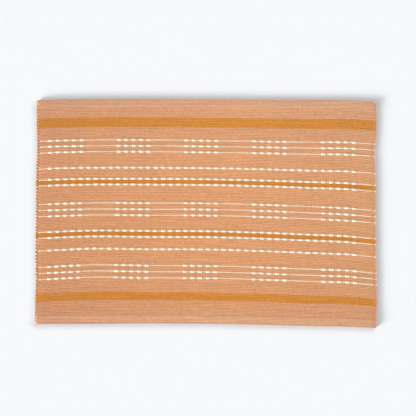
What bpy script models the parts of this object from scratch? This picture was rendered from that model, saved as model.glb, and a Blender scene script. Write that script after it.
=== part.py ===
"""A handwoven cotton placemat lying flat: one cloth with its weft ribs raised on the upper face.

The weft runs along X from selvedge to selvedge and the warp along Y from hem to hem. Sizes below are in
millimetres. The underside is flat, and the origin is the middle of the mat's box, on the table.
"""

from collections import namedtuple
from math import radians

import bmesh
import bpy

MM = 0.001

# Thickness
RIB_TOP = 1.9  # crest of a ground rib above the table
GROOVE = 0.5  # depth of the groove between two ribs
FOLD_TOP = 1.5  # the hem's rounded fold, where the cloth turns under
SELVEDGE_DROP = 0.6  # the outermost warp ends lie lower than the ribs

# Outline
LENGTH = 460.0  # from selvedge to selvedge
SELVEDGE = 2.0  # width of the lower strip along each selvedge
LOOP_OUT = 0.35  # how far a turn of the weft stands out, or the gap between two turns falls in
CELLS = 13  # stretches of cloth between the two selvedge strips

# The weft from the upper hem down. depth is along the warp, and lift is how far the crests stand above
# the ground's: a hem has a second layer under it, and a cream pick is a thick yarn.
Band = namedtuple("Band", "yarn picks depth lift")
WEFT = (
    Band("hem", 5, 8.1, 0.8),
    Band("ground", 8, 16.5, 0.0),
    Band("ochre", 6, 13.0, 0.0),
    Band("ground", 8, 16.1, 0.0),
    Band("cream", 1, 2.8, 0.7),
    Band("ground", 3, 5.0, 0.0),
    Band("cream", 1, 2.8, 0.7),
    Band("ground", 3, 5.2, 0.0),
    Band("cream", 1, 2.8, 0.7),
    Band("ground", 9, 18.6, 0.0),
    Band("cream", 1, 2.8, 0.7),
    Band("ground", 6, 11.5, 0.0),
    Band("cream", 1, 2.8, 0.7),
    Band("ochre", 4, 6.6, 0.0),
    Band("cream", 1, 2.8, 0.7),
    Band("ground", 10, 21.1, 0.0),
    Band("cream", 1, 2.8, 0.7),
    Band("ground", 3, 5.5, 0.0),
    Band("cream", 1, 2.8, 0.7),
    Band("ground", 3, 5.3, 0.0),
    Band("cream", 1, 2.8, 0.7),
    Band("ground", 9, 18.1, 0.0),
    Band("cream", 1, 2.8, 0.7),
    Band("ochre", 4, 6.9, 0.0),
    Band("cream", 1, 2.8, 0.7),
    Band("ground", 6, 12.6, 0.0),
    Band("cream", 1, 2.8, 0.7),
    Band("ground", 9, 19.4, 0.0),
    Band("cream", 1, 2.8, 0.7),
    Band("ground", 3, 5.5, 0.0),
    Band("cream", 1, 2.8, 0.7),
    Band("ground", 3, 5.5, 0.0),
    Band("cream", 1, 2.8, 0.7),
    Band("ground", 9, 18.1, 0.0),
    Band("ochre", 5, 11.0, 0.0),
    Band("ground", 11, 22.6, 0.0),
    Band("hem", 5, 8.7, 0.8),
)
WIDTH = sum(band.depth for band in WEFT)  # from fold to fold

# How the mat lies: how far a weft line at each of five levels sags towards the lower hem, at stations
# across the mat. Beaten in by hand, the lines aren't straight, and they fall most at the right.
Sag = namedtuple("Sag", "x top upper middle lower bottom")
SAGS = (
    Sag(-230, 1.0, 1.5, 2.0, 2.5, 0.0),
    Sag(-200, 0.2, 0.0, 0.6, 0.7, 0.2),
    Sag(-150, -0.3, -0.8, -0.5, -1.4, 0.0),
    Sag(-75, -0.4, -0.9, -0.3, -0.4, -0.5),
    Sag(0, 0.0, 0.0, 0.0, 0.0, 0.0),
    Sag(75, 0.4, 1.0, 1.9, 2.0, 1.4),
    Sag(145, 0.7, 2.2, 4.7, 4.6, 3.2),
    Sag(190, 0.9, 2.3, 6.7, 5.9, 3.9),
    Sag(230, 2.6, 5.0, 10.2, 9.8, 5.8),
)
Level = namedtuple("Level", "name y")
LEVELS = (
    Level("bottom", -WIDTH / 2),
    Level("lower", -90.0),
    Level("middle", 11.0),
    Level("upper", 97.0),
    Level("top", WIDTH / 2),
)

# How far each selvedge stands out from a straight side, from the lower hem up
Side = namedtuple("Side", "y left right")
SIDES = (
    Side(-WIDTH / 2, 1.2, 0.2),
    Side(-148, 1.8, 0.9),
    Side(-128, 1.4, 1.6),
    Side(-112, 1.6, 0.7),
    Side(-90, -0.2, 0.5),
    Side(-52, 0.9, -1.3),
    Side(-30, 1.4, -0.7),
    Side(2, 0.9, -1.1),
    Side(34, 0.3, -0.3),
    Side(61, -0.1, -2.2),
    Side(83, -1.4, -4.0),
    Side(115, -0.5, 0.1),
    Side(148, -0.9, -0.2),
    Side(WIDTH / 2, -1.3, -2.0),
)

COTTON = (0.716, 0.352, 0.189, 1.0)

Line = namedtuple("Line", "y z out")


def smooth(places, values, at):
    """Value at a place on a smooth curve through the values, held level past both ends."""
    if at <= places[0]:
        return values[0]
    if at >= places[-1]:
        return values[-1]
    right = next(n for n, place in enumerate(places) if place > at)
    left = right - 1
    span = places[right] - places[left]

    def slope(n):
        before, after = max(n - 1, 0), min(n + 1, len(places) - 1)
        return (values[after] - values[before]) / (places[after] - places[before])

    t = (at - places[left]) / span
    start = values[left] * (1 + 2 * t) + slope(left) * span * t
    end = values[right] * (3 - 2 * t) - slope(right) * span * (1 - t)
    return start * (1 - t) ** 2 + end * t**2


def sag(x, y):
    """How far the weft line at y sags at x."""
    stations = [station.x for station in SAGS]
    at_levels = [
        smooth(stations, [getattr(station, level.name) for station in SAGS], x)
        for level in LEVELS
    ]
    return smooth([level.y for level in LEVELS], at_levels, y)


def side(name, y):
    """Distance of the left or right selvedge from the middle, at y."""
    out = smooth([row.y for row in SIDES], [getattr(row, name) for row in SIDES], y)
    return LENGTH / 2 + out


def weft_lines():
    """The crest and groove lines of the upper face, from the upper fold down. out is how far the line
    stands out at the right selvedge, and in at the left one, where the weft turns on the other picks."""
    picks = [band for band in WEFT for _ in range(band.picks)]
    y = WIDTH / 2
    lines = [Line(y, FOLD_TOP, 0.0)]
    for number, pick in enumerate(picks):
        pitch = pick.depth / pick.picks
        lines.append(Line(y - pitch / 2, RIB_TOP + pick.lift, 0.0))
        y -= pitch
        if number + 1 < len(picks):
            lift = min(pick.lift, picks[number + 1].lift)
            out = LOOP_OUT if number % 2 else -LOOP_OUT
            lines.append(Line(y, RIB_TOP - GROOVE + lift, out))
    lines.append(Line(y, FOLD_TOP, 0.0))
    return lines


def across(line):
    """Points of a weft line from the left selvedge to the right one."""
    left = line.out - side("left", line.y)
    right = side("right", line.y) + line.out
    inner_left, inner_right = left + SELVEDGE, right - SELVEDGE
    step = (inner_right - inner_left) / CELLS
    inner = [inner_left + step * n for n in range(CELLS + 1)]
    xs = [left, *inner, right]
    zs = [line.z - SELVEDGE_DROP, *[line.z] * len(inner), line.z - SELVEDGE_DROP]
    return [(x, line.y - sag(x, line.y), z) for x, z in zip(xs, zs)]


def centred(grid):
    """The grid's points in metres, with the middle of their box over the origin."""
    points = [point for row in grid for point in row]
    middle = [(min(p[n] for p in points) + max(p[n] for p in points)) / 2 for n in (0, 1)]
    return [
        [((x - middle[0]) * MM, (y - middle[1]) * MM, z * MM) for x, y, z in row]
        for row in grid
    ]


def cloth_mesh():
    """The ribbed upper face, its rim drawn down to the table, and one flat face under it."""
    bm = bmesh.new()
    grid = centred([across(line) for line in weft_lines()])
    verts = [[bm.verts.new(point) for point in row] for row in grid]
    for upper, lower in zip(verts, verts[1:]):
        for n in range(len(upper) - 1):
            bm.faces.new((upper[n], lower[n], lower[n + 1], upper[n + 1]))

    rim = [edge for edge in bm.edges if edge.is_boundary]
    walls = bmesh.ops.extrude_edge_only(bm, edges=rim)["geom"]
    for vert in walls:
        if isinstance(vert, bmesh.types.BMVert):
            vert.co.z = 0.0
    foot = [edge for edge in bm.edges if edge.is_boundary]
    bmesh.ops.edgeloop_fill(bm, edges=foot)
    bmesh.ops.recalc_face_normals(bm, faces=bm.faces)

    mesh = bpy.data.meshes.new("mat_cloth")
    bm.to_mesh(mesh)
    bm.free()
    mesh.shade_smooth()
    mesh.set_sharp_from_angle(angle=radians(50))
    return mesh


def cotton():
    """Matt salmon cotton."""
    material = bpy.data.materials.new("salmon_cotton")
    material.use_nodes = True
    shader = material.node_tree.nodes["Principled BSDF"]
    shader.inputs["Base Color"].default_value = COTTON
    shader.inputs["Roughness"].default_value = 0.9
    shader.inputs["Metallic"].default_value = 0.0
    return material


def main():
    for old in list(bpy.data.objects):
        bpy.data.objects.remove(old)
    mesh = cloth_mesh()
    mesh.materials.append(cotton())
    cloth = bpy.data.objects.new("mat_cloth", mesh)
    bpy.context.scene.collection.objects.link(cloth)


main()
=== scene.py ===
"""A handwoven cotton placemat lying flat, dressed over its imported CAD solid.

The cloth is one closed sheet with its weft ribs, and the thick cream weft yarns, the warp ends that tie
them down, the turns of the weft at the selvedges, the selvedge cords and the hem stitches lie on it as
pieces of their own. Lengths are in millimetres until laid() puts them in the CAD frame, in metres.
"""

from collections import namedtuple
from math import cos, pi, radians, sin

import bpy
import numpy as np
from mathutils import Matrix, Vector


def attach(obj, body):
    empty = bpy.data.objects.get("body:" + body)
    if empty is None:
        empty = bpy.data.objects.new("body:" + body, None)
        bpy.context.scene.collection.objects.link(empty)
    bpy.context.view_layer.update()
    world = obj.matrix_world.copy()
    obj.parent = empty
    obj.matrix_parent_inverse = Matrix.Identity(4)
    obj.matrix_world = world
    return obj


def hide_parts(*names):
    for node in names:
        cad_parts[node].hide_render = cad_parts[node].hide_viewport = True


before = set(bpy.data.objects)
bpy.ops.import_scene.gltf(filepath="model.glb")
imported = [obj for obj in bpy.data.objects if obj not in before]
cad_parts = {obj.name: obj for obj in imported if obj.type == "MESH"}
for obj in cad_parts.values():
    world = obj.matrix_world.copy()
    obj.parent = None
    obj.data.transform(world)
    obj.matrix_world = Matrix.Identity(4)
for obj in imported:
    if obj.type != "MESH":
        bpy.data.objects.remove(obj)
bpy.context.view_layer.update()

MM = 0.001
rng = np.random.default_rng(41)

# ---------------------------------------------------------------- the mat's own sizes
# They are within 2 mm of the CAD source's.

RIB_TOP = 1.9  # crest of a ground rib above the table
LENGTH = 460.0  # from selvedge to selvedge
LOOP_OUT = 0.35  # how far a turn of the weft stands out of the selvedge
HEM_LIFT = 0.8  # how far the layer turned under a hem raises it

# The weft from the upper hem down: yarn, picks, and depth along the warp
Band = namedtuple("Band", "yarn picks depth")
CREAM = Band("cream", 1, 2.8)
WEFT = (
    Band("hem", 5, 8.1),
    Band("ground", 8, 16.5),
    Band("ochre", 6, 13.0),
    Band("ground", 8, 16.1),
    CREAM,
    Band("ground", 3, 5.0),
    CREAM,
    Band("ground", 3, 5.2),
    CREAM,
    Band("ground", 9, 18.6),
    CREAM,
    Band("ground", 6, 12.2),
    CREAM,
    Band("ochre", 4, 4.9),
    CREAM,
    Band("ground", 10, 22.1),
    CREAM,
    Band("ground", 3, 5.5),
    CREAM,
    Band("ground", 3, 5.3),
    CREAM,
    Band("ground", 9, 18.4),
    CREAM,
    Band("ochre", 4, 5.2),
    CREAM,
    Band("ground", 6, 14.0),
    CREAM,
    Band("ground", 9, 19.4),
    CREAM,
    Band("ground", 3, 5.5),
    CREAM,
    Band("ground", 3, 5.5),
    CREAM,
    Band("ground", 9, 18.1),
    Band("ochre", 5, 11.0),
    Band("ground", 11, 21.2),
    Band("hem", 5, 10.1),
)
WIDTH = sum(band.depth for band in WEFT)  # from fold to fold
PICK_COUNT = sum(band.picks for band in WEFT)

# How far a weft line sags towards the lower hem, at stations across the mat and at five levels of it
SAG_X = (-230, -200, -150, -75, 0, 75, 145, 190, 230)
SAG_Y = (-WIDTH / 2, -90, 11, 97, WIDTH / 2)
SAGS = (
    (0.0, 0.2, 0.0, -0.5, 0.0, 1.4, 3.2, 3.9, 5.8),
    (2.5, 0.7, -1.4, -0.4, 0.0, 2.0, 4.6, 5.9, 9.8),
    (2.0, 0.6, -0.5, -0.3, 0.0, 1.9, 4.7, 6.7, 10.2),
    (1.5, 0.0, -0.8, -0.9, 0.0, 1.0, 2.2, 2.3, 5.0),
    (1.0, 0.2, -0.3, -0.4, 0.0, 0.4, 0.7, 0.9, 2.6),
)

# How far each selvedge stands out from a straight side, from the lower hem up
SIDE_Y = (-WIDTH / 2, -148, -128, -112, -90, -52, -30, 2, 34, 61, 83, 115, 148, WIDTH / 2)
SIDES = {
    "left": (1.5, 2.0, 1.5, 1.5, 0.5, 1.2, 0.9, 0.5, 0.5, 0.0, -1.2, -0.5, -0.7, -1.2),
    "right": (0.3, 0.2, 0.8, 0.9, 1.2, -0.2, -0.1, -0.6, -0.5, -1.0, -2.2, 0.4, -0.3, -2.0),
}

# ---------------------------------------------------------------- how it is woven

DASH_PITCH = 10.295  # from one cream float to the next
ENDS_A_DASH = 4  # warp ends in that distance
END_PITCH = DASH_PITCH / ENDS_A_DASH
FIRST_DASH = -211.2  # the middle of the leftmost float
DASHES = 41  # floats on a line that has them all the way
# How far the warp ends stray from even spacing, at stations across the mat and at four levels of it
STRAY_X = (-211, -170, -119, -77, 15, 108, 201)
STRAY_Y = (-81, -35, 11, 88)
STRAYS = (
    (-1.2, -2.5, -2.9, -3.0, -2.4, -1.3, 1.0),
    (0.0, -0.3, -1.4, -1.5, -1.5, -1.0, 0.1),
    (0.1, 0.2, -0.8, -1.2, -1.5, -1.1, -0.3),
    (0.5, 2.1, 0.9, -0.2, -1.0, -1.2, -0.8),
)
WARP_OUT = 227.2  # how far from the middle the outermost warp ends of the cloth may lie
# From where to where the warp ends come to follow a selvedge, at the right and at the left
FOLLOW_RIGHT, FOLLOW_LEFT = (200, 227), (205, 227)

CREST_UP = 0.05  # how far the middle of a rib's crown stands over RIB_TOP
CREAM_BED = 0.35  # how much lower the cloth lies under a cream yarn
RIB_DEPTH = 0.2  # the groove between two ribs, as the soft yarn fills it
BEAT_UP = 0.12  # how far the picks' pitches differ in a band, as a share of it
SHOULDER = 0.28  # where a rib's crown ends, as a share of the pick's pitch on each side
CROWN = 0.12  # how much a rib rises over one warp end and dips under the next
FOLD_Z = 1.5  # height of the fold's outermost line
FOLD_OUT = 0.3  # how far the rounded fold stands out
FOLD_DROP = 0.2  # how much lower the crown next to a fold is, on the fold's side
# How slowly the rise of the upper and of the lower hem dies away past its inner edge
UPPER_EASE, LOWER_EASE = 4.0, 10.0
UPPER_FURROW, LOWER_FURROW = 0.15, 0.04  # how deep a hem's stitching pulls the cloth down
FURROW_REACH = 0.8  # how far from the stitching that pull is felt

RIM_X, INNER_RIM_X = 229.2, 228.7  # the last two columns of the upper face, past the warp ends
RIM_Z, CORNER_Z = 0.7, 0.6  # height of the rim along a selvedge, and at its ends
THINNING, THINNER = (221, 229), 0.25  # near a selvedge the cloth gets thinner, by so much
PATCHES, BUMPS, WAVER = 0.09, 0.05, 0.07  # unevenness of the face, and of its picks' lines

UNDER_EVERY = 4  # the underside has a column of points every so many warp ends
UNDER_RIM_X = 228.3  # its last column, under the rim
UNDER_FOLD_IN = 0.5  # how far inside the fold the underside ends
UNDER_RISE = 0.6  # share of the hem's lift that the single cloth beside it shows underneath
BACK_RELIEF = 0.25  # the groove between two ribs of the back

# What each yarn's place is in a list of materials
FINISHES = {"hem": 0, "ground": 1, "ochre": 2, "cream": 3}

RUN = "root"  # the body that everything rides on

Pick = namedtuple("Pick", "yarn y pitch")
Part = namedtuple("Part", "points faces thread finish")


def smooth(places, values, at):
    """Values on a smooth curve through the given ones, held level past both ends."""
    places, at = np.asarray(places, float), np.asarray(at, float)
    values = np.asarray(values, float)
    if values.ndim == 1:
        values = values.reshape(-1, *[1] * at.ndim)
    values = np.broadcast_to(values, (len(places), *at.shape))
    number = np.arange(len(places))
    before, after = np.maximum(number - 1, 0), np.minimum(number + 1, len(places) - 1)
    run = (places[after] - places[before]).reshape(-1, *[1] * at.ndim)
    slopes = (values[after] - values[before]) / run

    at = np.clip(at, places[0], places[-1])
    right = np.clip(np.searchsorted(places, at, side="right"), 1, len(places) - 1)
    left = right - 1
    span = places[right] - places[left]
    t = (at - places[left]) / span
    start, steep = (np.take_along_axis(table, left[None], 0)[0] for table in (values, slopes))
    start = start * (1 + 2 * t) + steep * span * t
    end, steep = (np.take_along_axis(table, right[None], 0)[0] for table in (values, slopes))
    end = end * (3 - 2 * t) - steep * span * (1 - t)
    return start * (1 - t) ** 2 + end * t**2


def step(low, high, at):
    """From 0 at low to 1 at high, with no corner."""
    t = np.clip((np.asarray(at, float) - low) / (high - low), 0, 1)
    return t * t * (3 - 2 * t)


def sag(x, y):
    """How far the weft line at y sags at x."""
    x, y = np.broadcast_arrays(np.asarray(x, float), np.asarray(y, float))
    return smooth(SAG_Y, np.stack([smooth(SAG_X, row, x) for row in SAGS]), y)


def side(name, y):
    """Distance of a selvedge from the middle, at y."""
    return LENGTH / 2 + smooth(SIDE_Y, SIDES[name], y)


def middle():
    """The middle of the mat's outline, which the CAD frame has over its origin."""
    ys = np.linspace(-WIDTH / 2, WIDTH / 2, 2 * PICK_COUNT + 1)
    xs = np.linspace(-side("left", WIDTH / 2), side("right", WIDTH / 2), 200)
    top = (WIDTH / 2 - sag(xs, WIDTH / 2)).max()
    bottom = (-WIDTH / 2 - sag(xs, -WIDTH / 2)).min()
    return (side("right", ys).max() - side("left", ys).max()) / 2, (top + bottom) / 2


MIDDLE = middle()


def woven(x, y):
    """Where a warp place x lies at y. The ends stray a little, and near a selvedge they follow it."""
    x, y = np.broadcast_arrays(np.asarray(x, float), np.asarray(y, float))
    stray = smooth(STRAY_Y, np.stack([smooth(STRAY_X, row, x) for row in STRAYS]), y)
    near_right, near_left = step(*FOLLOW_RIGHT, x), step(*FOLLOW_LEFT, -x)
    to_right = (side("right", y) - LENGTH / 2) * near_right
    to_left = (side("left", y) - LENGTH / 2) * near_left
    return x + stray * (1 - near_right) * (1 - near_left) + to_right - to_left


def laid(x, y, z):
    """Points of the flat weave as they lie, in the CAD frame."""
    x, y, z = np.broadcast_arrays(x, y, z)
    return np.stack([x - MIDDLE[0], y - sag(x, y) - MIDDLE[1], z], -1) * MM


def picks():
    """Every pick of the weft from the upper hem down. No two yarns of a band are quite as thick, or beaten
    up quite as close."""
    found, y = [], WIDTH / 2
    for band in WEFT:
        shares = 1 + BEAT_UP * rng.uniform(-1, 1, band.picks) * (band.yarn != "hem")
        for pitch in band.depth * shares / shares.sum():
            found.append(Pick(band.yarn, y - pitch / 2, pitch))
            y -= pitch
    return found


PICKS = picks()
PICK_Y = np.array([pick.y for pick in PICKS])
HEM_INNER = (WIDTH / 2 - WEFT[0].depth, -WIDTH / 2 + WEFT[-1].depth)


def hem_lift(y):
    """How far the cloth is raised by the layer turned under it. It eases off past the hem's inner edge, more
    gently at the lower hem."""
    from_upper = np.maximum(HEM_INNER[0] - y, 0)
    from_lower = np.maximum(y - HEM_INNER[1], 0)
    return HEM_LIFT * np.maximum(np.exp(-from_upper / UPPER_EASE), np.exp(-from_lower / LOWER_EASE))


def stitch_furrow(y):
    """How far the hem's stitching pulls the cloth down, least at the lower hem."""
    pulls = zip(HEM_INNER, (UPPER_FURROW, LOWER_FURROW))
    return sum(deep * np.exp(-(((y - inner) / FURROW_REACH) ** 2)) for inner, deep in pulls)


# ---------------------------------------------------------------- mesh making


def tube(path, wide, high, sides=8, finish=0):
    """A yarn along a path in metres: wide and high are its half width and half height at each point, in
    millimetres, and finish is the place of its material, or of each of its segments' materials."""
    count = len(path)
    wide, high = (np.broadcast_to(np.asarray(v, float), count) for v in (wide, high))
    along = np.gradient(path, axis=0)
    along /= np.linalg.norm(along, axis=1)[:, None]
    across = np.cross((0, 0, 1), along)
    across /= np.linalg.norm(across, axis=1)[:, None]
    above = np.cross(along, across)
    angles = np.arange(sides) * 2 * pi / sides
    ring = across[:, None] * (np.cos(angles) * wide[:, None])[..., None]
    ring = ring + above[:, None] * (np.sin(angles) * high[:, None])[..., None]
    points = (path[:, None] + ring * MM).reshape(-1, 3)

    first = np.arange(count - 1)[:, None] * sides
    a = (first + np.arange(sides)).ravel()
    b = (first + (np.arange(sides) + 1) % sides).ravel()
    faces = np.stack([a, b, b + sides, a + sides], -1).tolist()
    faces += [list(range(sides))[::-1], list(range((count - 1) * sides, count * sides))]
    gone = np.linalg.norm(np.diff(path, axis=0), axis=1) / MM
    gone = np.concatenate([[0], np.cumsum(gone)])
    around = np.tile(np.cos(angles), count), np.tile(np.sin(angles), count)
    thread = np.stack([np.repeat(gone, sides), *around], -1)
    segments = np.broadcast_to(finish, count - 1)
    finish = [*np.repeat(segments, sides), segments[0], segments[-1]]
    return Part(points, faces, thread, finish)


def joined(parts):
    """Several parts as one."""
    faces, finish, start = [], [], 0
    for part in parts:
        faces += [[corner + start for corner in face] for face in part.faces]
        finish += list(part.finish)
        start += len(part.points)
    return Part(
        np.concatenate([part.points for part in parts]),
        faces,
        np.concatenate([part.thread for part in parts]),
        finish,
    )


def piece(name, part, materials):
    """A mesh object from a part, riding on the mat's body. Its thread attribute carries the yarn's own
    coordinates to the material."""
    mesh = bpy.data.meshes.new(name)
    mesh.from_pydata(part.points.tolist(), [], part.faces)
    attribute = mesh.attributes.new("thread", "FLOAT_VECTOR", "POINT")
    attribute.data.foreach_set("vector", part.thread.astype(np.float32).ravel())
    for material in materials:
        mesh.materials.append(material)
    mesh.polygons.foreach_set("material_index", np.array(part.finish, np.int32))
    mesh.shade_smooth()
    mesh.update()
    thing = bpy.data.objects.new(name, mesh)
    bpy.context.scene.collection.objects.link(thing)
    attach(thing, RUN)
    return thing


# ---------------------------------------------------------------- the cloth


def cloth_rows():
    """Lines of the upper face from the upper fold down, as y, z and the place in picks."""
    rows = [(WIDTH / 2 + FOLD_OUT, FOLD_Z, -0.5)]
    for number, pick in enumerate(PICKS):
        crest = RIB_TOP + CREST_UP - (CREAM_BED if pick.yarn == "cream" else 0)
        for shoulder in (-SHOULDER, SHOULDER):
            y = pick.y - shoulder * pick.pitch
            rows.append((y, crest + hem_lift(y) - stitch_furrow(y), number + shoulder))
        y = pick.y - pick.pitch / 2
        low = RIB_TOP - RIB_DEPTH + hem_lift(y) - stitch_furrow(y)
        rows.append((y, low, number + 0.5))
    for row in (1, -2):
        y, z, place = rows[row]
        rows[row] = (y, z - FOLD_DROP, place)
    rows[-1] = (-WIDTH / 2 - FOLD_OUT, FOLD_Z, len(PICKS) - 0.5)
    return np.array(rows)


def warp_ends():
    """Numbers of the cloth's warp ends, counted from the one under the first float."""
    first = int(np.ceil((-WARP_OUT - FIRST_DASH) / END_PITCH))
    last = int(np.floor((WARP_OUT - FIRST_DASH) / END_PITCH))
    return np.arange(first, last + 1)


def wander(rows, columns, every_row, every_column):
    """A smooth random field from -1 to 1 over a grid, with a new value every so many rows and columns."""
    knots = rng.uniform(-1, 1, (int(rows / every_row) + 2, int(columns / every_column) + 2))
    down = np.arange(rows) / every_row
    over = np.arange(columns) / every_column
    at_columns = np.stack([np.interp(over, np.arange(knots.shape[1]), row) for row in knots])
    fields = [np.interp(down, np.arange(knots.shape[0]), column) for column in at_columns.T]
    return np.stack(fields, 1)


def upper_face():
    """The ribbed face: its points and their thread coordinates, each as a grid from the upper fold down and
    from the left selvedge to the right one."""
    ends = warp_ends()
    xs = np.array([-RIM_X, -INNER_RIM_X, *FIRST_DASH + ends * END_PITCH, INNER_RIM_X, RIM_X])
    rows = cloth_rows()
    y, height, place = (rows[:, [n]] for n in range(3))
    number = np.clip(np.floor(place + 0.5), 0, len(PICKS) - 1)
    count = len(rows), len(xs)

    # The crown of a rib rises over every other warp end, and the next rib's over the ones between
    over = np.concatenate([[0, 0], np.cos(pi * ends), [0, 0]]) * np.cos(pi * number)
    on_rib = (np.arange(len(rows)) % 3 > 0)[:, None]
    z = height + np.where(on_rib, CROWN * over, 0)
    z = z + PATCHES * wander(*count, 3, 6) + BUMPS * wander(*count, 1, 2)
    z = z - THINNER * step(*THINNING, np.abs(xs))
    z[:, 0] = z[:, -1] = RIM_Z
    z[0] = z[-1] = FOLD_Z
    z[0, [0, -1]] = z[-1, [0, -1]] = CORNER_Z
    # The lines of the picks waver, but not the folds
    shift = WAVER * wander(*count, 1, 9) * (np.abs(y) < WIDTH / 2)
    points = laid(woven(xs, y), y + shift, z)
    return points, np.stack(np.broadcast_arrays(xs, place, 0.0), -1)


def underside():
    """The back, in grids like the upper face's: the hem's turned layer on the table, a step at its inner
    edge, and the flatter ribs."""
    ends = warp_ends()[::UNDER_EVERY]
    xs = np.array([-UNDER_RIM_X, *FIRST_DASH + ends * END_PITCH, UNDER_RIM_X])
    rows = [(WIDTH / 2 - UNDER_FOLD_IN, 0.0, -0.3)]
    for number, pick in enumerate(PICKS):
        gap = 0.0 if pick.yarn == "hem" else UNDER_RISE * float(hem_lift(pick.y))
        rows.append((pick.y, gap, number))
        if number + 1 < len(PICKS):
            rows.append((pick.y - pick.pitch / 2, gap + BACK_RELIEF, number + 0.5))
    rows.append((-WIDTH / 2 + UNDER_FOLD_IN, 0.0, len(PICKS) - 0.7))
    y, z, place = (np.array(rows)[:, [n]] for n in range(3))
    return laid(woven(xs, y), y, z), np.stack(np.broadcast_arrays(xs, place, 1.0), -1)


def zipped(upper, lower):
    """Triangles between two lines of points, an upper and a lower one, walked clockwise from above."""
    faces, i, j = [], 0, 0
    last_i, last_j = len(upper) - 1, len(lower) - 1
    while i < last_i or j < last_j:
        if j == last_j or (i < last_i and (i + 1) * last_j <= (j + 1) * last_i):
            faces.append([upper[i], upper[i + 1], lower[j]])
            i += 1
        else:
            faces.append([upper[i], lower[j + 1], lower[j]])
            j += 1
    return faces


def grid_faces(grid, downward=False):
    """The four-sided faces of a grid of point numbers, facing up, or down for an underside."""
    a, b, c, d = grid[:-1, :-1], grid[1:, :-1], grid[1:, 1:], grid[:-1, 1:]
    corners = (d, c, b, a) if downward else (a, b, c, d)
    return np.stack([corner.ravel() for corner in corners], -1).tolist()


def cloth():
    """The whole cloth as one closed sheet: ribs and rounded folds above, flatter ribs underneath."""
    face, face_thread = upper_face()
    under, under_thread = underside()
    top = np.arange(len(face) * len(face[0])).reshape(face.shape[:2])
    back = top.size + np.arange(len(under) * len(under[0])).reshape(under.shape[:2])
    faces = grid_faces(top) + grid_faces(back, downward=True)

    # On the face the cream yarns are a piece of their own, and the ground's yarn lies under them
    on_face = {**FINISHES, "cream": FINISHES["ground"]}
    of_row = [on_face[PICKS[min(row // 3, len(PICKS) - 1)].yarn] for row in range(len(top))]
    finish = np.repeat(of_row[:-1], top.shape[1] - 1).tolist()
    place = under_thread[:, 0, 1]
    for between in (place[:-1] + place[1:]) / 2:
        finish += [FINISHES[PICKS[int(round(between))].yarn]] * (back.shape[1] - 1)

    for upper, lower, selvedge in (
        (top[0], back[0], False),
        (top[:, -1], back[:, -1], True),
        (top[-1, ::-1], back[-1, ::-1], False),
        (top[::-1, 0], back[::-1, 0], True),
    ):
        for rim_face in zipped(upper.tolist(), lower.tolist()):
            faces.append(rim_face)
            row = rim_face[0] // top.shape[1]
            finish.append(of_row[row] if selvedge else FINISHES["hem"])
    return Part(
        np.concatenate([face.reshape(-1, 3), under.reshape(-1, 3)]),
        faces,
        np.concatenate([face_thread.reshape(-1, 3), under_thread.reshape(-1, 3)]),
        finish,
    )


# ---------------------------------------------------------------- the cream yarns

FLOAT = 5.65  # length of a float
GROUPED = {0, 1, 2, 6, 7, 8, 12, 13, 14}  # the cream lines whose floats come in groups
GROUP, GROUP_PITCH = 5, 9  # floats in a group, and pitches from group to group
CREAM_FROM, CREAM_TO = -227.2, 225.2  # where a cream yarn shows between the selvedge cords
CREAM_STEP = 0.7  # from one point of the yarn to the next
# Half width, half height and height over the table between floats, and what a float adds to each
CREAM_WIDE, CREAM_HIGH, CREAM_Z = 1.0, 0.34, 1.6
FLOAT_WIDER, FLOAT_HIGHER, FLOAT_UP = 0.38, 0.18, 0.42
SWELL_IN, SWELL_OUT = 0.9, 0.45  # how far inside and outside a float's end its swelling runs
# How far one float may differ from another in its place, its length and its half width
STRAY_PLACE, STRAY_LENGTH, STRAY_WIDTH = 0.25, 0.5, 0.12
# How far the yarn wanders in half width, in height and along the warp
UNEVEN_WIDE, UNEVEN_Z, UNEVEN_Y = 0.08, 0.04, 0.1
THINNER_START, START_RUN = 0.35, 9  # it starts so much thinner at the left selvedge, over such a run
END_DIP, END_RUN = 0.5, 1.5  # both its ends dip under the selvedge cords
YARN_KNOTS = np.arange(-240, 245, 9)  # places along it where its wandering takes a new value

TIES = np.arange(-5, 170)  # the gaps between warp ends where a cream yarn can be tied down
TIE_CLEAR = 0.4  # how far under the end of a float a tie may stand
TIE_REACH = 1.15  # half the length of a tie
TIE_STRAY, TIE_VARY = 0.15, 0.1  # how far it may be off its place, and how far its reach may differ
# Height of a tie over the table, along it in shares of its reach, and its half width and half height
TIE_Y = (1, 0.6, 0, -0.6, -1)
TIE_Z = (1.35, 1.9, 2.08, 1.9, 1.35)
TIE_WIDE, TIE_HIGH = 0.56, 0.22


def float_places(line):
    """Middles of the floats on a cream line."""
    numbers = np.arange(DASHES)
    if line in GROUPED:
        numbers = numbers[numbers % GROUP_PITCH < GROUP]
    return FIRST_DASH + numbers * DASH_PITCH


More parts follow.
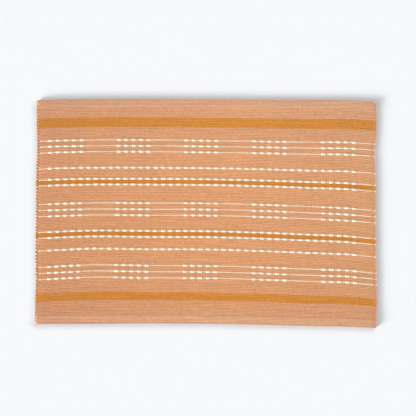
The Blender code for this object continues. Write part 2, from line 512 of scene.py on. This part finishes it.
def cream_yarn(line, pick):
    """One thick cream yarn. Where it floats it opens out and stands over the cloth, and between floats the
    warp pulls it down and together."""
    places = float_places(line)
    places = places + rng.uniform(-STRAY_PLACE, STRAY_PLACE, len(places))
    lengths = FLOAT + rng.uniform(-STRAY_LENGTH, STRAY_LENGTH, len(places))
    widths = rng.uniform(-STRAY_WIDTH, STRAY_WIDTH, len(places))
    xs = np.arange(CREAM_FROM, CREAM_TO, CREAM_STEP)
    puff, extra = np.zeros_like(xs), np.zeros_like(xs)
    for place, length, width in zip(places, lengths, widths):
        bump = 1 - step(length / 2 - SWELL_IN, length / 2 + SWELL_OUT, np.abs(xs - place))
        puff = np.maximum(puff, bump)
        extra += width * bump
    wobble = np.interp(xs, YARN_KNOTS, rng.uniform(-1, 1, len(YARN_KNOTS)))
    thin = THINNER_START * (1 - step(CREAM_FROM, CREAM_FROM + START_RUN, xs))
    up_left = step(CREAM_FROM, CREAM_FROM + END_RUN, xs)
    up_right = step(-CREAM_TO, END_RUN - CREAM_TO, -xs)
    wide = CREAM_WIDE + UNEVEN_WIDE * wobble + (FLOAT_WIDER + extra) * puff - thin
    high = CREAM_HIGH + FLOAT_HIGHER * puff
    z = CREAM_Z + FLOAT_UP * puff + UNEVEN_Z * wobble - END_DIP * (1 - np.minimum(up_left, up_right))
    path = laid(woven(xs, pick.y), pick.y + UNEVEN_Y * wobble, z)
    return tube(path, wide, high, sides=10)


def warp_ties(line, pick):
    """The warp ends that hold a cream yarn down between its floats."""
    places = float_places(line)
    ties = []
    for end in FIRST_DASH + TIES * END_PITCH + END_PITCH / 2:
        if np.abs(places - end).min() < FLOAT / 2 - TIE_CLEAR:
            continue
        end = end + rng.uniform(-TIE_STRAY, TIE_STRAY)
        reach = TIE_REACH + rng.uniform(-TIE_VARY, TIE_VARY)
        path = laid(woven(end, pick.y), pick.y + np.array(TIE_Y) * reach, np.array(TIE_Z))
        ties.append(tube(path, TIE_WIDE, TIE_HIGH, sides=6))
    return ties


# ---------------------------------------------------------------- the selvedges

YARN = 0.72  # radius of a weft yarn where it turns
YARN_RANGE = (0.94, 1.06)  # from the thinnest to the thickest, as a share of it
YARN_FLAT = 0.9  # its height, as a share of its width
TURN_RANGE = (-0.2, 0.12)  # how far a turn stands in or out from its place
TURN_RISE = 0.75  # share of the hem's lift that raises a turn
BOW = 1.25  # how far the bend of a turn stands out from its two straight ends
# How high a turn lies, so far in from its outermost point
TURN_IN = (0, 1.3, 2.6, 4.2)
TURN_Z = (1.25, 1.35, 1.2, 0.9)

CORD_WIDE, CORD_HIGH = 0.5, 0.4  # half width and half height of a cord
CORD_SWELL = 0.05  # how much wider it is where it shows over the weft
CORD_BEAT = 0.12  # how far it goes over and under its own height
CORD_STRAY = 0.15  # how far it wanders to its sides
CORD_KNOTS = np.arange(-160, 161, 8)  # places along it where its wandering takes a new value
CORD_SHORT = 0.7  # how far short of a fold it ends
CORD_DIP = 1.0  # how much lower its ends lie


def turn(name, number, colours):
    """A turn of the weft round the last warp end of one selvedge, from a pick to the next."""
    upper, lower = PICKS[number], PICKS[number + 1]
    between, half = (upper.y + lower.y) / 2, (upper.y - lower.y) / 2
    reach = side(name, between) + LOOP_OUT - YARN + rng.uniform(*TURN_RANGE)
    bend = np.radians(np.linspace(90, -90, 9))
    tail = -np.array(TURN_IN[:1:-1])
    out = np.concatenate([tail, BOW * (np.cos(bend) - 1), tail[::-1]]) + reach
    y = between + np.concatenate([[half, half], half * np.sin(bend), [-half, -half]])
    lift = TURN_RISE * float(hem_lift(between))
    z = np.interp(reach - out, TURN_IN, TURN_Z) + lift
    thick = YARN * rng.uniform(*YARN_RANGE)
    finish = np.where(y[:-1] + y[1:] > 2 * between, *colours)
    # Seen from above, the yarn runs clockwise round either end of the mat
    sign = 1 if name == "right" else -1
    order = slice(None, None, sign)
    path = laid(sign * out, y, z)[order]
    return tube(path, thick, thick * YARN_FLAT, finish=finish[order])


def turns(name):
    """All the turns of one selvedge. The weft turns at the right after every odd pick, and at the left after
    every even one."""
    yarns = [pick.yarn for pick in PICKS]
    if name == "left":
        # The cream yarns, and the ochre of the first broad band, stop short of this selvedge
        first = yarns.index("ochre")
        broad = range(first, yarns.index("ground", first))
        yarns = ["ground" if n in broad or yarn == "cream" else yarn for n, yarn in enumerate(yarns)]
    found = []
    for number in range(1 if name == "right" else 0, len(PICKS) - 1, 2):
        colours = [FINISHES[yarn] for yarn in yarns[number : number + 2]]
        found.append(turn(name, number, colours))
    return joined(found)


def selvedge_cord(name, inset, height):
    """A warp end so far in from the selvedge, lying over and under the weft. It has a point on each pick and
    one a millimetre further down."""
    end = WIDTH / 2 - CORD_SHORT
    y = np.array([end, *np.stack([PICK_Y, PICK_Y - 1], 1).ravel()[:-1], -end])
    beat = np.cos(pi * np.arange(len(y)) / 2)
    wobble = np.interp(y[::-1], CORD_KNOTS, rng.uniform(-1, 1, len(CORD_KNOTS)))[::-1]
    x = side(name, y) - inset + CORD_STRAY * wobble
    z = height + CORD_BEAT * beat + hem_lift(y) - stitch_furrow(y)
    z[[0, -1]] -= CORD_DIP
    sign = 1 if name == "right" else -1
    return tube(laid(sign * x, y, z), CORD_WIDE + CORD_SWELL * beat, CORD_HIGH)


# ---------------------------------------------------------------- the hem stitching

STITCH, STITCH_GAP = 2.6, 0.7  # length of a stitch, and the gap to the next
STITCH_VARY, STITCH_STRAY = 0.2, 0.12  # how far it may be off that length, and off its line
SEWN_FROM, SEWN_TO = -226.0, 225.0  # from the left selvedge to the right one
SEWN_PAST = 0.1  # how far past the hem's inner edge its line lies
# A stitch comes up through the cloth and goes down again: places along it, in shares of its length, and
# heights over or under its line
STITCH_X = (0, 0.12, 0.35, 0.65, 0.88, 1)
STITCH_Z = (-0.75, -0.1, 0.08, 0.08, -0.1, -0.75)
STITCH_UP = 0.2  # the line of the stitches on the face, over the cloth
BELOW_Z, BELOW_SHARE = 0.12, 0.25  # their line on the back, and how much of that height they have there
# Half width and half height of the thread, on the face and on the back
ABOVE_THREAD, BELOW_THREAD = (0.3, 0.2), (0.22, 0.1)


def hem_stitches():
    """A row of stitches along each hem's inner edge, on the face and on the back."""
    found = []
    for inner in HEM_INNER:
        y = inner - SEWN_PAST * np.sign(inner)
        top = RIB_TOP + STITCH_UP + float(hem_lift(y)) - float(stitch_furrow(y))
        x = SEWN_FROM
        while x < SEWN_TO:
            length = STITCH + rng.uniform(-STITCH_VARY, STITCH_VARY)
            spots = woven(x + length * np.array(STITCH_X), y)
            bow = y + rng.uniform(-STITCH_STRAY, STITCH_STRAY)
            above = laid(spots, bow, top + np.array(STITCH_Z))
            found.append(tube(above, *ABOVE_THREAD, sides=6))
            below = laid(spots, bow, BELOW_Z - BELOW_SHARE * np.array(STITCH_Z))
            found.append(tube(below, *BELOW_THREAD, sides=6))
            x += length + STITCH_GAP
    return joined(found)


# ---------------------------------------------------------------- finishes

# Colours of the dyed yarns, sRGB
SALMON = "#E6A77D"
SALMON_SHADE_AND_WARP = "#DB9A71"  # painted shade in the grooves and between plies, and the warp's own colour where it shows
SALMON_TURN_SHADED = "#AF8562"  # the turns at the left, darker as painted shade
SALMON_HEM = "#E6B08A"
OCHRE = "#DF903A"
# The ochre's painted shade, in its grooves and between its plies
OCHRE_SHADE = "#D2863C"
# The ochre turns at the left, darker as painted shade
OCHRE_TURN_SHADED = "#BD7F38"
CREAM_YARN = "#F2F2E8"
# The cream's painted shade, in its grooves and between its plies
CREAM_SHADE = "#EADDBE"
CORD_PINK = "#D39878"
TIE_BUFF = "#E6AE7C"
STITCH_THREAD = "#F5D6BA"
PAPER = "#F3F4F6"
# How the cloth's colour is darkened: a share of its length, or of its picks from the upper hem, and what is
# left of its red, green and blue there. Across its length this is painted light falloff, darker towards both
# ends. Down its picks its tone drifts, painted shade makes it deepest at the folds, and painted light makes
# it palest at the lower hem's inner edge, against the shade of the cloth's slope there.
PAINTED_FALLOFF_ACROSS = (
    (0.0, 0.87, 0.88, 0.91),
    (0.02, 0.89, 0.87, 0.89),
    (0.2, 0.945, 0.93, 0.93),
    (0.5, 1.0, 0.99, 0.98),
    (0.62, 1.0, 1.0, 0.99),
    (0.85, 0.96, 0.97, 0.99),
    (1.0, 0.94, 0.99, 1.0),
)
TONE_AND_SHADE_DOWN = (
    (0.0, 0.7, 0.7, 0.7),
    (0.004, 0.97, 0.97, 0.99),
    (0.05, 0.94, 0.965, 0.985),
    (0.15, 0.96, 0.97, 0.94),
    (0.3, 1.0, 0.985, 0.9),
    (0.7, 0.981, 0.958, 0.845),
    (0.935, 0.948, 0.94, 0.897),
    (0.955, 0.975, 0.965, 0.925),
    (0.965, 1.0, 0.995, 0.97),
    (0.973, 1.0, 1.0, 0.98),
    (0.98, 0.973, 0.975, 0.96),
    (0.992, 0.98, 0.985, 0.98),
    (0.997, 0.72, 0.72, 0.72),
    (1.0, 0.42, 0.42, 0.42),
)
# How far a pick's tone wanders, as streaks, slubs and specks, and over runs of how many millimetres
TONES = ((0.16, 60), (0.15, 8), (0.34, 2))
PICKS_APART = 5.37  # how far apart two picks lie in the noise that does it, so that no two are alike
GROOVE_SHADE = (0.3, 0.5)  # where the painted shade of a groove begins and is full, in pitches from a pick's middle
DIP_TONE = (0.1, -0.9)  # where a warp end's colour begins to show and is full, as the weft goes from over it, 1, to under it, -1
SPIN = 1.6  # a woven yarn's twist turns once in this many millimetres
FIBRE = 0.5  # between two loose fibres


def linear(colour):
    """An sRGB hex colour as the linear one that a shader takes."""
    parts = [int(colour[n : n + 2], 16) / 255 for n in (1, 3, 5)]
    return [*[c / 12.92 if c <= 0.04045 else ((c + 0.055) / 1.055) ** 2.4 for c in parts], 1.0]


def add(tree, kind, inputs=(), give=0, **settings):
    """One node: settings are its own, an input is a value or the socket that feeds it, and give is the
    output that it hands on, or None for the node itself. A Mix node of colours has its factor at input 0 and
    the two colours at 6 and 7, and gives the mixed one at 2."""
    node = tree.nodes.new("ShaderNode" + kind)
    for name, value in settings.items():
        setattr(node, name, value)
    for name, value in dict(inputs).items():
        if isinstance(value, bpy.types.NodeSocket):
            tree.links.new(value, node.inputs[name])
        else:
            node.inputs[name].default_value = value
    return node if give is None else node.outputs[give]


def blank(name):
    """A new material with an empty node tree."""
    material = bpy.data.materials.new(name)
    material.use_nodes = True
    material.node_tree.nodes.clear()
    return material, material.node_tree


def matt_cotton(tree, colour, height, relief):
    """Cotton has no gloss: rough, with little specular and a faint sheen from its nap. height is drawn as a
    bump of so many millimetres."""
    bump = {"Height": height, "Strength": 0.6, "Distance": relief * MM}
    finish = {
        "Base Color": colour,
        "Normal": add(tree, "Bump", bump),
        "Roughness": 0.92,
        "IOR": 1.5,
        "Specular IOR Level": 0.2,
        "Sheen Weight": 0.08,
        "Sheen Roughness": 0.5,
    }
    add(tree, "OutputMaterial", {"Surface": add(tree, "BsdfPrincipled", finish)}, give=None)


def fibres(tree):
    """Loose cotton fibres, drawn half a millimetre apart: the real ones are too fine to show."""
    place = add(tree, "TexCoord", give="Object")
    return add(tree, "TexNoise", {"Vector": place, "Scale": 1 / (FIBRE * MM), "Detail": 3.0})


def woven_cotton(name, colour, deep, tick):
    """Cloth woven of soft single-spun cotton, beaten up close by hand: matt, with a faint nap, with painted
    shade in the grooves between picks, and with a tick of the warp's colour wherever the weft dips under an
    end. Its tone wanders along each pick."""
    material, tree = blank(name)
    thread = add(tree, "Attribute", give="Vector", attribute_name="thread")
    along, place, _ = add(tree, "SeparateXYZ", {0: thread}, give=None).outputs
    pick = add(tree, "Math", {0: place}, operation="ROUND")
    off = add(tree, "Math", {0: place, 1: pick}, operation="SUBTRACT")
    beside = add(tree, "Math", {0: off}, operation="ABSOLUTE")
    smooth_step = {"interpolation_type": "SMOOTHSTEP"}
    edge = {"Value": beside, "From Min": GROOVE_SHADE[0], "From Max": GROOVE_SHADE[1]}
    groove_shade = add(tree, "MapRange", edge, **smooth_step)

    # Over one warp end and under the next: the cosine turns once in two ends, and the next pick is opposite
    from_first = add(tree, "Math", {0: along, 1: -FIRST_DASH}, operation="ADD")
    ends = add(tree, "Math", {0: from_first, 1: pi / END_PITCH}, operation="MULTIPLY")
    beat = add(tree, "Math", {0: pick, 1: pi, 2: ends}, operation="MULTIPLY_ADD")
    over = add(tree, "Math", {0: beat}, operation="COSINE")
    under = {"Value": over, "From Min": DIP_TONE[0], "From Max": DIP_TONE[1]}
    dip = add(tree, "MapRange", under, **smooth_step)
    ticks = add(tree, "Math", {0: dip, 1: groove_shade}, operation="MULTIPLY")

    # The yarn's own tone along each pick
    row = add(tree, "Math", {0: pick, 1: PICKS_APART}, operation="MULTIPLY")
    tone = 1 - sum(share for share, run in TONES) / 2
    for share, run in TONES:
        way = add(tree, "Math", {0: along, 1: 1 / run}, operation="MULTIPLY")
        spot = add(tree, "CombineXYZ", {0: way, 1: row})
        noise = {"Vector": spot, "Scale": 1.0, "Detail": 1.0}
        noise = add(tree, "TexNoise", noise, noise_dimensions="2D")
        tone = add(tree, "Math", {0: noise, 1: share, 2: tone}, operation="MULTIPLY_ADD")

    # Painted shade: the grooves between picks take the deep colour
    body = {0: groove_shade, 6: linear(colour), 7: linear(deep)}
    body = add(tree, "Mix", body, give=2, data_type="RGBA")
    dyed = add(tree, "Mix", {0: ticks, 6: body, 7: linear(tick)}, give=2, data_type="RGBA")
    grey = add(tree, "CombineColor", {0: tone, 1: tone, 2: tone})
    # Painted falloff towards the mat's ends, painted shade at the folds, and a drifting tone down the picks
    shades = [grey]
    for way, low, high, stops in (
        (along, -LENGTH / 2, LENGTH / 2, PAINTED_FALLOFF_ACROSS),
        (place, -0.5, len(PICKS) - 0.5, TONE_AND_SHADE_DOWN),
    ):
        share = add(tree, "MapRange", {"Value": way, "From Min": low, "From Max": high})
        ramp = add(tree, "ValToRGB", {0: share}, give=None)
        marks = ramp.color_ramp.elements
        for _ in stops[2:]:
            marks.new(0.5)
        for mark, (spot, *shade) in zip(marks, stops):
            mark.position, mark.color = spot, (*shade, 1)
        shades.append(ramp.outputs[0])
    multiply = {"data_type": "RGBA", "blend_type": "MULTIPLY"}
    for shade in shades:
        dyed = add(tree, "Mix", {0: 1.0, 6: dyed, 7: shade}, give=2, **multiply)

    # The spinning twist, aslant over each rib
    slant = add(tree, "Math", {0: off, 1: 1.4 * pi}, operation="MULTIPLY")
    twist = add(tree, "Math", {0: along, 1: 2 * pi / SPIN, 2: slant}, operation="MULTIPLY_ADD")
    strand = add(tree, "Math", {0: twist}, operation="COSINE")
    height = add(tree, "Math", {0: strand, 1: 0.25, 2: fibres(tree)}, operation="MULTIPLY_ADD")
    matt_cotton(tree, dyed, height, relief=0.12)
    return material


def spun_cotton(name, colour, deep, pitch, plies):
    """A cotton yarn on its own: plies twisted together once in pitch millimetres, painted lighter where they
    stand highest and with painted shade between them, and matt, with a soft nap."""
    material, tree = blank(name)
    thread = add(tree, "Attribute", give="Vector", attribute_name="thread")
    along, right, up = add(tree, "SeparateXYZ", {0: thread}, give=None).outputs
    around = add(tree, "Math", {0: up, 1: right}, operation="ARCTAN2")
    around = add(tree, "Math", {0: around, 1: float(plies)}, operation="MULTIPLY")
    twist = add(tree, "Math", {0: along, 1: 2 * pi / pitch, 2: around}, operation="MULTIPLY_ADD")
    strand = add(tree, "Math", {0: twist}, operation="COSINE")
    height = add(tree, "Math", {0: strand, 1: 0.6, 2: fibres(tree)}, operation="MULTIPLY_ADD")
    # Painted shade and highlight: the hollows between plies take the deep colour, the highest points the
    # yarn's own
    painted_ply_shade = add(tree, "MapRange", {"Value": height, "From Min": -0.3, "From Max": 1.1})
    body = {0: painted_ply_shade, 6: linear(deep), 7: linear(colour)}
    body = add(tree, "Mix", body, give=2, data_type="RGBA")
    matt_cotton(tree, body, height, relief=0.15)
    return material


def matt_paper():
    """A sweep of plain matt paper: pale and even, with a barely seen tooth every 3 mm."""
    material, tree = blank("matt_sweep_paper")
    place = add(tree, "TexCoord", give="Object")
    tooth = add(tree, "TexNoise", {"Vector": place, "Scale": 1 / (3 * MM)})
    bump = add(tree, "Bump", {"Height": tooth, "Strength": 0.05, "Distance": 0.1 * MM})
    finish = {
        "Base Color": linear(PAPER),
        "Normal": bump,
        "Roughness": 1.0,
        "Specular IOR Level": 0.0,
    }
    add(tree, "OutputMaterial", {"Surface": add(tree, "BsdfPrincipled", finish)}, give=None)
    return material


# ---------------------------------------------------------------- putting it together


def dress():
    """Every piece of the mat in its cotton. The cloth stands for the CAD solid, and the rest lies on it."""
    hem = woven_cotton("salmon_cotton_hem", SALMON_HEM, SALMON_SHADE_AND_WARP, SALMON_SHADE_AND_WARP)
    ground = woven_cotton("salmon_cotton_weft", SALMON, SALMON_SHADE_AND_WARP, SALMON_SHADE_AND_WARP)
    ochre = woven_cotton("ochre_cotton_weft", OCHRE, OCHRE_SHADE, SALMON)
    cream_back = woven_cotton("cream_cotton_weft", CREAM_YARN, CREAM_SHADE, SALMON)
    cream = spun_cotton("cream_cotton_yarn", CREAM_YARN, CREAM_SHADE, pitch=3.2, plies=2)
    salmon_turn = spun_cotton("salmon_cotton_turn", SALMON, SALMON_SHADE_AND_WARP, pitch=2.6, plies=2)
    # The turns at the left get darker copies of the salmon and ochre yarns: painted shade
    shaded_turn = spun_cotton("shaded_salmon_turn", SALMON_TURN_SHADED, SALMON_TURN_SHADED, pitch=2.6, plies=2)
    hem_turn = spun_cotton("salmon_hem_turn", SALMON_HEM, SALMON_SHADE_AND_WARP, pitch=2.6, plies=2)
    ochre_turn = spun_cotton("ochre_cotton_turn", OCHRE, OCHRE_SHADE, pitch=2.6, plies=2)
    shaded_ochre = spun_cotton("shaded_ochre_turn", OCHRE_TURN_SHADED, OCHRE_TURN_SHADED, pitch=2.6, plies=2)
    warp = spun_cotton("pink_cotton_warp", CORD_PINK, SALMON_SHADE_AND_WARP, pitch=1.8, plies=2)
    tie_warp = spun_cotton("buff_cotton_warp", TIE_BUFF, SALMON, pitch=1.8, plies=2)
    thread = spun_cotton("sewing_cotton", STITCH_THREAD, SALMON, pitch=0.8, plies=3)

    sheet = piece("woven_cloth", cloth(), [hem, ground, ochre, cream_back])
    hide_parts("mat_cloth")
    lines = [pick for pick in PICKS if pick.yarn == "cream"]
    yarns = joined([cream_yarn(n, pick) for n, pick in enumerate(lines)])
    ties = joined([tie for n, pick in enumerate(lines) for tie in warp_ties(n, pick)])
    at_left = [shaded_turn, shaded_turn, shaded_ochre, cream]
    at_right = [hem_turn, salmon_turn, ochre_turn, cream]
    cords = joined(
        [
            selvedge_cord("right", inset=2.7, height=1.4),
            selvedge_cord("right", inset=4.0, height=1.45),
            selvedge_cord("left", inset=3.0, height=1.4),
        ]
    )
    fitted = [
        piece("cream_floats", yarns, [cream]),
        piece("float_ties", ties, [tie_warp]),
        piece("left_turns", turns("left"), at_left),
        piece("right_turns", turns("right"), at_right),
        piece("selvedge_cords", cords, [warp]),
        piece("hem_stitches", hem_stitches(), [thread]),
    ]


def stage():
    """A plain sheet of paper under the mat, so wide that the camera doesn't see its edges."""
    half = 8000 * MM
    mesh = bpy.data.meshes.new("paper_sweep")
    corners = [(-half, -half, 0), (half, -half, 0), (half, half, 0), (-half, half, 0)]
    mesh.from_pydata(corners, [], [(0, 1, 2, 3)])
    mesh.materials.append(matt_paper())
    floor = bpy.data.objects.new("paper_sweep", mesh)
    floor.location.z = -0.2 * MM  # just clear of the cloth's flat back
    bpy.context.scene.collection.objects.link(floor)


PAPER_LIGHT = 1.045  # all the light on the paper, where 1 would show it in its own colour
# Each lamp's share of that light, its degrees above the table and round from +X, and its size in degrees
Softbox = namedtuple("Softbox", "name share height way across")
SOFTBOXES = (
    Softbox("key_softbox_left", 0.15, 8, 205, 8),
    Softbox("key_softbox_right", 0.145, 9, 220, 8),
    Softbox("key_softbox_high", 0.175, 18, 212, 16),
    Softbox("fill_softbox_right", 0.125, 16, 25, 12),
    Softbox("fill_softbox_left", 0.145, 18, 70, 14),
)


def light():
    """An even white studio dome, a bank of softboxes low at the lower left, and a weaker bank opposite."""
    world = bpy.data.worlds.new("studio_dome")
    world.use_nodes = True
    world.node_tree.nodes.clear()
    level = PAPER_LIGHT * (1 - sum(box.share for box in SOFTBOXES))
    dome = add(world.node_tree, "Background", {"Color": (1, 1, 1, 1), "Strength": level})
    add(world.node_tree, "OutputWorld", {"Surface": dome}, give=None)
    bpy.context.scene.world = world

    for box in SOFTBOXES:
        lamp = bpy.data.lights.new(box.name, "SUN")
        lamp.energy = pi * PAPER_LIGHT * box.share / sin(radians(box.height))
        lamp.angle = radians(box.across)
        softbox = bpy.data.objects.new(box.name, lamp)
        height, way = radians(box.height), radians(box.way)
        towards = Vector((cos(way) * cos(height), sin(way) * cos(height), sin(height)))
        softbox.rotation_euler = towards.to_track_quat("Z", "Y").to_euler()
        bpy.context.scene.collection.objects.link(softbox)


PICTURE = 416  # pixels along each side of the photograph
PIXEL = 1.3525  # millimetres of the mat that one of them shows
FIELD = PICTURE * PIXEL * MM
AIM = (2.8 * MM, 7.7 * MM)  # the point that the camera looks down on


def camera():
    """Straight above the mat, as the photograph was taken."""
    lens = bpy.data.cameras.new("overhead")
    lens.lens, lens.sensor_width = 70, 36
    lens.clip_end = 100
    eye = bpy.data.objects.new("overhead", lens)
    eye.location = (*AIM, FIELD * lens.lens / lens.sensor_width + RIB_TOP * MM)
    bpy.context.scene.collection.objects.link(eye)
    bpy.context.scene.camera = eye
    bpy.context.scene.view_settings.view_transform = "Standard"


dress()
stage()
light()
camera()
